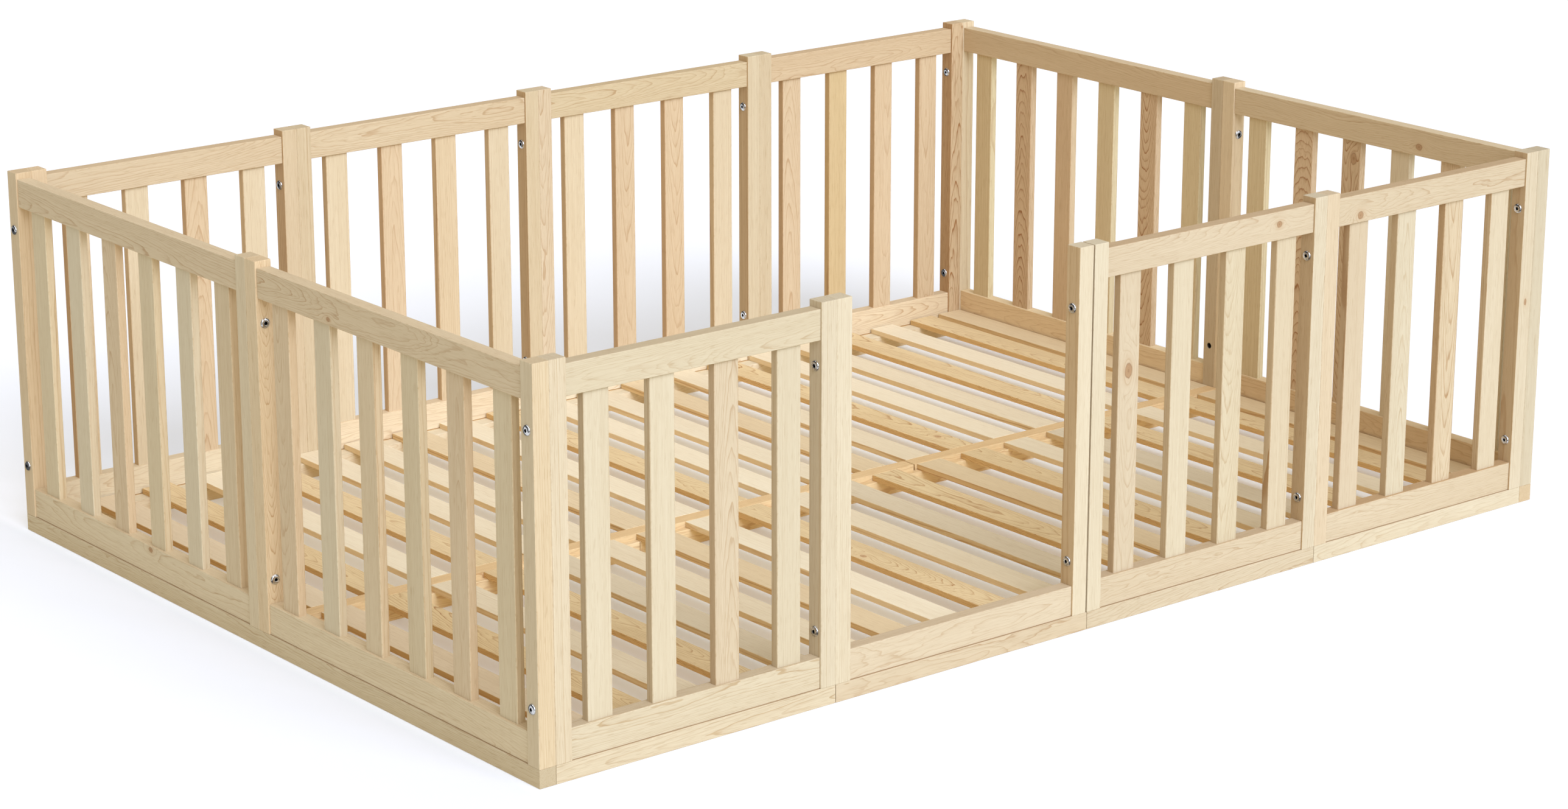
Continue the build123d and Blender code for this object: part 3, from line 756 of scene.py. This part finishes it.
def pine(name, gain=1.0, ring_gain=1.0, side=(0.91, 0.82, 0.73), ripple=0.0):
    """Raw softwood: growth rings cut by the board's faces, fibres, resin flecks, knots, end grain and rubbed edges
    that carry a painted highlight, with painted light and shade on some faces, in rail gaps and in drilled holes.
    """
    mat, g = new_material(name)
    gx, gy, gz = g.parts(g.attr("gp").outputs["Vector"])
    tone, pink, line = g.parts(g.attr("bv").outputs["Vector"])
    per_m, light, warp = g.parts(g.attr("bw").outputs["Vector"])
    kx, ky, kr = g.parts(g.attr("kp").outputs["Vector"])
    edge = g.attr("edge").outputs["Fac"]
    end = g.attr("eg").outputs["Fac"]
    side_shade = g.attr("painted_side_shade").outputs["Fac"]

    # knots push the grain aside
    kd2 = g.add(g.mul(kx, kx), g.mul(ky, ky))
    kd = g.m("SQRT", kd2)
    pull = g.m("EXPONENT", g.mul(g.add(g.mul(g.mul(kx, kx), 0.45), g.mul(ky, ky)), -0.16))
    gy1 = g.sub(gy, g.mul(g.mul(ky, kr), g.mul(pull, 0.95)))
    gz1 = g.add(gz, g.mul(g.mul(kr, pull), 0.9))

    # slow and quick wander of the rings
    _, slow = g.noise(g.vec(g.mul(gx, 2.6), g.mul(gy1, 13.0), g.mul(gz1, 13.0)), 1.0, 1.0, 0.5)
    sx, sy, sz = g.parts(slow)
    _, quick = g.noise(g.vec(g.mul(gx, 13.0), g.mul(gy1, 60.0), g.mul(gz1, 60.0)), 1.0, 2.0, 0.55)
    qx, qy, qz = g.parts(quick)
    amp = g.mul(warp, 2.0)
    gy2 = g.add(gy1, g.mul(g.sub(sx, 0.5), amp))
    gz2 = g.add(gz1, g.mul(g.sub(sy, 0.5), g.mul(amp, 2.0)))
    gy3 = g.mad(g.sub(qx, 0.5), g.mul(amp, 0.35), gy2)
    gz3 = g.mad(g.sub(qy, 0.5), g.mul(amp, 0.35), gz2)
    if ripple:
        wave, _ = g.noise(g.vec(g.mul(gx, 52.0), g.mul(gy1, 30.0), g.mul(gz1, 30.0)), 1.0, 1.0)
        gz3 = g.mad(g.sub(wave, 0.5), g.mul(g.mul(side_shade, g.step(line, 0.46, 0.58)), 0.011 * ripple), gz3)

    r = g.m("SQRT", g.add(g.mul(gy3, gy3), g.mul(gz3, gz3)))
    years = g.add(g.mul(r, per_m), g.mul(g.noise1(r, 90.0, 1.0), 2.2))
    year = g.m("FLOOR", years)
    phase = g.m("FRACT", years)
    late = g.ramp(phase, [(0.0, 0.0), (0.56, 0.05), (0.79, 0.28), (0.90, 1.0), (0.965, 1.0), (1.0, 0.0)])
    late = g.mul(late, g.mad(g.white(year), 0.62, 0.38))
    fade, _ = g.noise(g.vec(g.mul(gx, 3.5), g.mul(gy1, 34.0), g.mul(gz1, 34.0)), 1.0, 1.0)
    late = g.mul(late, g.mad(fade, 1.1, 0.45))

    # fibres, streaks and resin flecks
    fibre, _ = g.noise(g.vec(g.mul(gx, 17.0), g.mul(gy2, 430.0), g.mul(gz2, 430.0)), 1.0, 4.0, 0.74)
    streak, _ = g.noise(g.vec(g.mul(gx, 5.0), g.mul(gy2, 190.0), g.mul(gz2, 190.0)), 1.0, 2.0, 0.6)
    fleck, _ = g.noise(g.vec(g.mul(gx, 46.0), g.mul(gy2, 820.0), g.mul(gz2, 820.0)), 1.0, 0.0)
    fleck = g.step(fleck, 0.62, 0.74)
    broad, _ = g.noise(g.vec(g.mul(gx, 1.6), g.mul(gy1, 8.0), g.mul(gz1, 8.0)), 1.0, 2.0)

    early_c = g.mix(tone, PALETTE["cream"], PALETTE["honey"])
    early_c = g.mix(pink, early_c, g.mix(tone, PALETTE["pink"], PALETTE["rust"]))
    late_c = g.mix(tone, PALETTE["cream_late"], PALETTE["honey_late"])
    late_c = g.mix(pink, late_c, g.mix(tone, PALETTE["pink_late"], PALETTE["rust_late"]))
    thin = g.m("MINIMUM", g.m("MAXIMUM", side_shade, 0.0), 1.5)
    amount = g.mul(g.mul(late, line), g.mad(thin, 0.6, 1.0))
    amount = g.m("MULTIPLY", amount, 1.22 * ring_gain, clamp=True)
    col = g.mix(amount, early_c, late_c)
    wide = g.sub(broad, 0.5)
    col = g.tint(col, g.vec(g.mad(wide, 0.10, 1.0), g.mad(wide, 0.15, 1.0), g.mad(wide, 0.22, 1.0)))
    thread = g.mul(g.sub(fibre, 0.5), g.mad(line, 1.0, 0.50))
    col = g.tint(col, g.vec(g.mad(thread, 0.20, 1.0), g.mad(thread, 0.25, 1.0), g.mad(thread, 0.33, 1.0)))
    band = g.sub(streak, 0.5)
    col = g.tint(col, g.vec(g.mad(band, 0.11, 1.0), g.mad(band, 0.15, 1.0), g.mad(band, 0.21, 1.0)))
    col = g.mix(g.mul(fleck, g.mad(line, 0.40, 0.10)), col, g.tint(col, (0.66, 0.54, 0.40)))

    # rubbed edges are paler, partly real wear and partly a painted highlight where the rounded arris catches the
    # light, with darker flecks along them; end grain is darker and dry
    chip, _ = g.noise(g.vec(g.mul(gx, 150.0), g.mul(gy1, 260.0), g.mul(gz1, 260.0)), 1.0, 1.0)
    col = g.mix(g.mul(edge, g.mul(g.step(chip, 0.56, 0.70), 0.42)), col, g.tint(col, (1.13, 1.15, 1.18)))
    col = g.mix(g.mul(edge, g.mul(g.sub(1.0, g.step(chip, 0.30, 0.42)), 0.40)), col, g.tint(col, (0.80, 0.70, 0.56)))
    wear_and_highlight = g.mul(edge, g.step(streak, 0.35, 0.7))
    col = g.mix(g.mul(wear_and_highlight, 0.30), col, g.tint(col, (1.12, 1.13, 1.15)))
    col = g.mix(g.mul(end, 0.60), col, g.tint(col, (0.90, 0.87, 0.83)))
    # painted shade: thin side faces are darker and warmer by the side tint, lighter where side_shade is negative;
    # painted light: left-side faces that catch the lamp are lighter and warmer
    col = g.tint(col, g.vec(*[g.mad(side_shade, 0.66 * (v - 1.0), 1.0) for v in side]))
    warm = g.attr("wf").outputs["Fac"]
    col = g.tint(col, g.vec(*[g.mad(warm, v - 1.0, 1.0) for v in (1.125, 1.065, 0.99)]))

    # knots
    rough_edge, _ = g.noise(g.vec(g.mul(kx, 1.3), g.mul(ky, 1.3), 3.1), 1.0, 2.0)
    kdn = g.add(kd, g.mul(g.sub(rough_edge, 0.5), 0.36))
    core = g.sub(1.0, g.step(kdn, 0.88, 1.04))
    rings = g.m("POWER", g.m("FRACT", g.mul(kdn, 4.3)), 2.0)
    heart = g.sub(1.0, g.step(kdn, 0.10, 0.42))
    kcol = g.mix(g.mul(rings, 0.55), PALETTE["knot"], PALETTE["knot_dark"])
    kcol = g.mix(g.mul(heart, 0.55), kcol, PALETTE["knot_dark"])
    kcol = g.tint(kcol, g.mad(g.sub(fibre, 0.5), 0.30, 1.0))
    halo = g.m("EXPONENT", g.mul(kd2, -0.34))
    col = g.mix(g.mul(halo, 0.46), col, g.mix(g.mul(late, 0.8), PALETTE["halo"], PALETTE["knot"]))
    col = g.mix(g.mul(core, 0.82), col, kcol)
    col = g.mix(g.mul(g.bell(kdn, 0.98, 0.10), 0.50), col, PALETTE["knot_dark"])
    col = g.tint(col, tuple(gain * v for v in GAIN))
    # per-board light: the board's own brightness and painted light and shade
    col = g.tint(col, light)
    # painted shade: the gap under a bottom rail is tinted brown, on the rail's underside and on the plinth top inside
    # the gap
    col = g.mix(g.attr("gap_shade").outputs["Fac"], col, g.tint(col, (0.99, 0.69, 0.40)))
    # painted shade inside drilled holes: walls and bottoms are darkened almost to black
    col = g.tint(col, g.mad(g.attr("painted_hole_shade").outputs["Fac"], -0.94, 1.0))

    rough = g.mad(late, -0.10, 0.60)
    rough = g.add(rough, g.mul(g.sub(fibre, 0.5), 0.22))
    rough = g.sub(rough, g.mul(core, 0.16))
    height = g.add(g.mul(fibre, 0.55), g.add(g.mul(late, 0.35), g.mul(streak, 0.45)))
    height = g.sub(height, g.mul(fleck, 0.35))
    g.finish(col, rough, height, 0.30, 0.0006, **{"Specular_IOR_Level": 0.32})
    return mat


def chrome():
    mat, g = new_material("bolt_chrome")
    pos = g.node("ShaderNodeTexCoord").outputs["Object"]
    hair, _ = g.noise(g.scaled(pos, (2600.0, 900.0, 900.0)), 1.0, 3.0, 0.6)
    spots, _ = g.noise(pos, 320.0, 2.0, 0.5)
    base = g.mix(g.step(spots, 0.35, 0.75), srgb(226, 228, 232), srgb(200, 203, 209))
    rough = g.add(g.mad(hair, 0.08, 0.05), g.mul(g.step(spots, 0.55, 0.8), 0.08))
    # painted shade: the hex socket is made near black and rougher
    socket_shade = g.attr("painted_socket_shade").outputs["Fac"]
    base = g.mix(socket_shade, base, (0.010, 0.010, 0.011, 1))
    rough = g.add(rough, g.mul(socket_shade, 0.35))
    g.finish(base, rough, hair, 0.05, 0.0001, Metallic=1.0)
    return mat


def zinc():
    mat, g = new_material("zinc_steel")
    pos = g.node("ShaderNodeTexCoord").outputs["Object"]
    grain, _ = g.noise(pos, 900.0, 3.0, 0.6)
    patch, _ = g.noise(pos, 160.0, 2.0, 0.5)
    base = g.mix(g.step(patch, 0.3, 0.7), srgb(176, 180, 186), srgb(148, 150, 150))
    base = g.mix(g.mul(g.step(grain, 0.62, 0.85), 0.5), base, srgb(122, 116, 100))
    g.finish(base, g.mad(grain, 0.25, 0.24), grain, 0.12, 0.0002, Metallic=1.0)
    return mat


def shaded_nut_steel():
    # painted shade: barrel nuts are made near black for the hole they sit in
    mat, g = new_material("nut_steel")
    pos = g.node("ShaderNodeTexCoord").outputs["Object"]
    grain, _ = g.noise(pos, 700.0, 3.0, 0.6)
    base = g.mix(g.step(grain, 0.45, 0.8), srgb(38, 36, 34), srgb(64, 60, 56))
    g.finish(base, g.mad(grain, 0.25, 0.38), grain, 0.12, 0.0002, Metallic=1.0)
    return mat


def beech():
    mat, g = new_material("beech")
    pos = g.node("ShaderNodeTexCoord").outputs["Object"]
    fleck, _ = g.noise(g.scaled(pos, (420.0, 420.0, 420.0)), 1.0, 3.0, 0.6)
    flute, _ = g.noise(g.scaled(pos, (60.0, 900.0, 900.0)), 1.0, 2.0, 0.5)
    col = g.mix(flute, srgb(218, 178, 132), srgb(196, 150, 104))
    col = g.mix(g.mul(g.step(fleck, 0.6, 0.8), 0.5), col, srgb(158, 108, 68))
    g.finish(col, g.mad(fleck, 0.2, 0.5), flute, 0.2, 0.0004)
    return mat


PINE = pine("pine")
# painted light: the slats' colour is raised 1.315 times for the lamp light that the fence keeps off the pen floor, and
# their sides get a browner painted shade
PINE_SLAT = pine("pine_slat", 1.315, 1.0, (0.945, 0.825, 0.625), 1.0)
CHROME, ZINC, NUT_SHADE, BEECH = chrome(), zinc(), shaded_nut_steel(), beech()

# --------------------------------------------------------------------------
# The wood
# --------------------------------------------------------------------------

RADIUS = {"slats": 0.0010, "plinth": 0.0006, "ledges": 0.0010, "beam": 0.0010, "posts": 0.0009, "rail": 0.0010}

for node in sorted(NODES):
    if node in KEPT or node == "bolts":
        continue
    radius = next((v for k, v in RADIUS.items() if k in node), 0.0016)
    solid = Solid()
    for i, (lo, hi) in enumerate(boards_of(node)):
        if "slats" in node:
            lo, hi = lo - np.array([0, 0.0007, 0]), hi + np.array([0, 0.0007, 0])
        if "bottom_rail" in node:
            lo = lo - np.array([0, 0, 0.0016])
        holes = holes_for(lo, hi) if node.endswith("posts") else ()
        verts, faces, corners, vnorm, edge, hole_shade = rounded_board(lo, hi, radius, 0.002 if "slats" in node else 0.0035, holes)
        # painted shade in the gap between a bottom rail and its plinth
        gap_shade = np.zeros(len(verts))
        if "bottom_rail" in node:
            gap_shade = np.clip(-vnorm[:, 2] * 1.6 - 0.5, 0.0, 1.0)
        elif "plinth" in node:
            k = 1 if hi[0] - lo[0] > hi[1] - lo[1] else 0
            inset = np.minimum(verts[:, k] - lo[k], hi[k] - verts[:, k])
            gap_shade = np.where((inset > 0.002) & (vnorm[:, 2] > 0.9), 0.7, 0.0)
        solid.add(verts, faces, corners, edge=edge, painted_hole_shade=hole_shade, gap_shade=gap_shade, **dress(node, i, lo, hi, verts, vnorm))
    slats = "slats" in node
    ob = solid.build(node + "_wood", PINE_SLAT if slats else PINE)
    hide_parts(node)
    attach(ob, BODY.get(node, "frame"))

# --------------------------------------------------------------------------
# The bolts: low domed heads with a hexagon socket, on turned shanks
# --------------------------------------------------------------------------


def bolt_mesh(seat, along):
    """(verts, faces, painted socket shade per vertex) of one bolt whose head sits on seat and whose shank runs along.
    """
    turn = 48
    along = np.array(along, float)
    side = np.array([0.0, 0.0, 1.0])
    other = np.cross(along, side)

    def at(radius, t, z):
        return np.array(seat) + (side * math.cos(t) + other * math.sin(t)) * radius * MM - along * z * MM

    prof = [(8.0, 0.0), (8.0, 0.30), (7.9, 0.42)]
    for k in range(1, 9):
        q = math.radians(90.0 * k / 9)
        prof.append((4.95 + 2.95 * math.cos(q), 0.42 + 2.43 * math.sin(q)))
    prof += [(4.75, 2.97), (4.60, 3.0)]
    verts, faces, socket_shade = [], [], []
    rows = []
    for radius, z in prof:
        rows.append([len(verts) + k for k in range(turn)])
        verts += [at(radius, 2 * math.pi * k / turn, z) for k in range(turn)]

    def hexagon(flat, z):
        ids = []
        for k in range(turn):
            t = 2 * math.pi * k / turn
            s = (t + math.pi / 6) % (math.pi / 3) - math.pi / 6
            ids.append(len(verts))
            verts.append(at(flat / 2 / math.cos(s), t, z))
        return ids

    rows.append(hexagon(5.5, 3.0))
    rows.append(hexagon(5.1, 2.80))
    # the socket walls and floor carry painted shade
    first = len(verts)
    rows.append(hexagon(5.0, 2.72))
    rows.append(hexagon(5.0, 0.5))
    hub = len(verts)
    verts.append(at(0.0, 0.0, 0.5))
    last = len(verts)
    for a, b in zip(rows, rows[1:]):
        for k in range(turn):
            m = (k + 1) % turn
            faces.append((a[k], a[m], b[m], b[k]))
    faces += [(rows[-1][k], rows[-1][(k + 1) % turn], hub) for k in range(turn)]
    # shank, rolled ridges and end chamfer
    shank = [(8.0, 0.0), (3.0, 0.0), (3.0, -28.0)]
    z = -28.0
    while z > -48.6:
        shank += [(2.55, z - 0.5), (3.0, z - 1.0)]
        z -= 1.0
    shank += [(2.9, -49.2), (2.2, -50.0)]
    rows2 = []
    for radius, zz in shank:
        rows2.append([len(verts) + k for k in range(turn)])
        verts += [at(radius, 2 * math.pi * k / turn, zz) for k in range(turn)]
    for a, b in zip(rows2, rows2[1:]):
        for k in range(turn):
            m = (k + 1) % turn
            faces.append((a[m], a[k], b[k], b[m]))
    faces.append(tuple(rows2[-1][::-1]))
    return verts, faces, [1.0 if first <= k < last else 0.0 for k in range(len(verts))]


def bolts():
    verts, faces, socket_shade = [], [], []
    seats = []
    for y, xs in ((-0.714, (-1.028, -0.528, -0.031, 0.472, 0.972)), (0.714, (-1.028, -0.528, -0.028, 0.472, 0.972))):
        seats += [((x, y, z), (1, 0, 0)) for x in xs for z in BOLT_Z]
    seats += [((x, -0.028, z), (0, 1, 0)) for x in (-1.014, 1.014) for z in BOLT_Z]
    for seat, along in seats:
        v, f, d = bolt_mesh(seat, along)
        socket_shade += d
        base = len(verts)
        verts += [tuple(p) for p in v]
        faces += [tuple(base + k for k in q[::-1]) for q in f]
    me = bpy.data.meshes.new("connector_bolts")
    me.from_pydata(verts, [], faces)
    me.update()
    me.polygons.foreach_set("use_smooth", [True] * len(me.polygons))
    me.set_sharp_from_angle(angle=math.radians(28))
    me.attributes.new("painted_socket_shade", "FLOAT", "POINT").data.foreach_set("value", socket_shade)
    me.materials.append(CHROME)
    ob = bpy.data.objects.new("connector_bolts", me)
    bpy.context.scene.collection.objects.link(ob)
    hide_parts("bolts")
    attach(ob, "frame")


bolts()

for node, mat in (("barrel_nuts", NUT_SHADE), ("plinth_screws", ZINC), ("ledge_screws", ZINC), ("dowels", BEECH)):
    me = NODES[node].data
    me.materials.clear()
    me.materials.append(mat)

# --------------------------------------------------------------------------
# Floor, light and camera
# --------------------------------------------------------------------------

scene = bpy.context.scene
FLOOR_GLOW = 0.45
FLOOR_GLOW_IN = 0.19
AMBIENT = 0.645
KEY = 2.46


def floor():
    n, reach, z = 24, 40.0, -0.0004
    xs = [reach * (2 * k / n - 1) for k in range(n + 1)]
    verts = [(x, y, z) for y in xs for x in xs]
    faces = [
        (j * (n + 1) + i, j * (n + 1) + i + 1, (j + 1) * (n + 1) + i + 1, (j + 1) * (n + 1) + i)
        for j in range(n)
        for i in range(n)
    ]
    me = bpy.data.meshes.new("studio_floor")
    me.from_pydata(verts, [], faces)
    mat, g = new_material("studio_floor")
    pos = g.node("ShaderNodeTexCoord").outputs["Object"]
    n1, _ = g.noise(pos, 3.0, 3.0, 0.5)
    px, py, pz = g.parts(pos)
    # painted light: the floor glows to lift its own shade a little, less so inside the fence
    inside = g.m("MAXIMUM", g.mul(g.m("ABSOLUTE", px), 1 / 1.0), g.mul(g.m("ABSOLUTE", py), 1 / 0.70))
    open_floor = g.step(inside, 0.97, 1.08)
    glow = g.mad(open_floor, FLOOR_GLOW - FLOOR_GLOW_IN, FLOOR_GLOW_IN)
    # painted shadows: the glow is cut beyond the back fence and in a soft strip beside the left fence
    back_shadow = g.mul(g.step(py, 0.72, 0.80), g.sub(1.0, g.step(py, 0.85, 2.0)))
    back_shadow = g.mul(back_shadow, g.mul(g.step(px, -1.03, -0.60), g.sub(1.0, g.step(px, 0.90, 1.30))))
    beside = g.mul(g.sub(1.0, g.step(px, -1.050, -1.028)), g.step(px, -2.6, -1.3))
    hug = g.mul(beside, g.mul(g.step(px, -1.30, -1.06), g.sub(1.0, g.step(g.m("ABSOLUTE", py), 0.6, 0.95))))
    shade = g.mul(beside, g.mul(g.step(px, -1.62, -1.12), g.sub(1.0, g.step(g.m("ABSOLUTE", py), 0.70, 1.15))))
    glow = g.sub(glow, g.add(g.mul(shade, 0.085), g.mul(back_shadow, 0.21)))
    p = g.node("ShaderNodeBsdfPrincipled")
    ray = g.node("ShaderNodeLightPath")
    # light that the floor throws back on the wood is as warm as the room
    bounce = ray.outputs["Is Diffuse Ray"]
    # the floor is bluer beside the left fence so that the painted shadow there reads grey, and a brighter lavender
    # inside the fence as the painted colour of the shade under the slats
    pale = g.mix(n1, (0.555, 0.590, 0.660, 1), (0.580, 0.615, 0.690, 1))
    pale = g.mix(beside, pale, (0.575, 0.610, 0.680, 1))
    pale = g.mix(open_floor, (0.80, 0.89, 1.0, 1), pale)
    thrown = g.mix(open_floor, (0.58, 0.46, 0.28, 1), (0.56, 0.54, 0.46, 1))
    g.put(p.inputs["Base Color"], g.mix(bounce, pale, thrown))
    p.inputs["Roughness"].default_value = 0.9
    p.inputs["Specular IOR Level"].default_value = 0.1
    thrown = g.mix(open_floor, (1.0, 0.79, 0.50, 1), (0.96, 0.91, 0.80, 1))
    g.put(p.inputs["Emission Color"], g.mix(bounce, (0.97, 0.965, 1.0, 1), thrown))
    g.put(p.inputs["Emission Strength"], g.add(glow, g.mul(bounce, g.add(g.mad(open_floor, -0.145, 0.145), g.add(g.mul(beside, 0.04), g.add(g.mul(hug, 0.09), g.mul(shade, 0.085)))))))
    # in polished metal the floor shows as a dim room with bright strips
    stripe = g.step(g.m("SINE", g.mul(g.add(px, g.mul(py, 0.6)), 2.4)), 0.15, 0.55)
    dim = g.node("ShaderNodeEmission")
    g.put(dim.inputs["Strength"], g.mad(stripe, 0.85, 0.10))
    both = g.node("ShaderNodeMixShader")
    g.put(both.inputs[0], ray.outputs["Is Glossy Ray"])
    g.put(both.inputs[1], p.outputs[0])
    g.put(both.inputs[2], dim.outputs[0])
    g.put(g.node("ShaderNodeOutputMaterial").inputs[0], both.outputs[0])
    me.materials.append(mat)
    ob = bpy.data.objects.new("studio_floor", me)
    scene.collection.objects.link(ob)


floor()

world = bpy.data.worlds.new("studio")
world.use_nodes = True
scene.world = world
w = Graph(world.node_tree)
path = w.node("ShaderNodeLightPath")
ray = w.node("ShaderNodeTexCoord").outputs["Generated"]
wx, wy, wz = w.parts(ray)
soft = w.node("ShaderNodeBackground")
soft.inputs[0].default_value = (1.0, 0.900, 0.705, 1)
soft.inputs[1].default_value = AMBIENT
# what polished metal sees: a lamp overhead and one in front, in a dim room
glint = w.add(w.mul(w.step(wz, 0.72, 0.80), 1.3), w.mul(w.bell(wy, -0.80, 0.16), 1.5))
shine = w.node("ShaderNodeBackground")
shine.inputs[0].default_value = (1, 1, 1, 1)
w.put(shine.inputs[1], w.add(glint, 0.07))
plain = w.node("ShaderNodeBackground")
plain.inputs[0].default_value = (1, 1, 1, 1)
plain.inputs[1].default_value = 1.0
mix1 = w.node("ShaderNodeMixShader")
w.put(mix1.inputs[0], path.outputs["Is Glossy Ray"])
w.put(mix1.inputs[1], soft.outputs[0])
w.put(mix1.inputs[2], shine.outputs[0])
mix2 = w.node("ShaderNodeMixShader")
w.put(mix2.inputs[0], path.outputs["Is Camera Ray"])
w.put(mix2.inputs[1], mix1.outputs[0])
w.put(mix2.inputs[2], plain.outputs[0])
out = w.node("ShaderNodeOutputWorld")
w.put(out.inputs[0], mix2.outputs[0])


def sun(name, towards, power, spread, colour):
    """A large soft lamp that shines from the direction given."""
    data = bpy.data.lights.new(name, "SUN")
    data.energy = power
    data.angle = math.radians(spread)
    data.color = colour
    ob = bpy.data.objects.new(name, data)
    d = np.array(towards, float)
    d /= np.linalg.norm(d)
    ob.rotation_euler = (math.acos(d[2]), 0, math.atan2(d[0], -d[1]))
    scene.collection.objects.link(ob)


sun("key", (-0.10, -0.80, 0.66), KEY, 50, (0.985, 1.065, 1.26))

cam = bpy.data.cameras.new("camera")
cam.sensor_width = 36.0
cam.sensor_fit = "HORIZONTAL"
cam.lens = 88.77
cam.clip_end = 200.0
cam_ob = bpy.data.objects.new("camera", cam)
cam_ob.location = (-3.873, -4.781, 2.020)
cam_ob.rotation_euler = (math.radians(90 - 16.55), 0, math.radians(-38.95))
scene.collection.objects.link(cam_ob)
scene.camera = cam_ob

scene.view_settings.view_transform = "Standard"
scene.view_settings.look = "None"
scene.view_settings.exposure = 0.0
scene.view_settings.gamma = 1.0
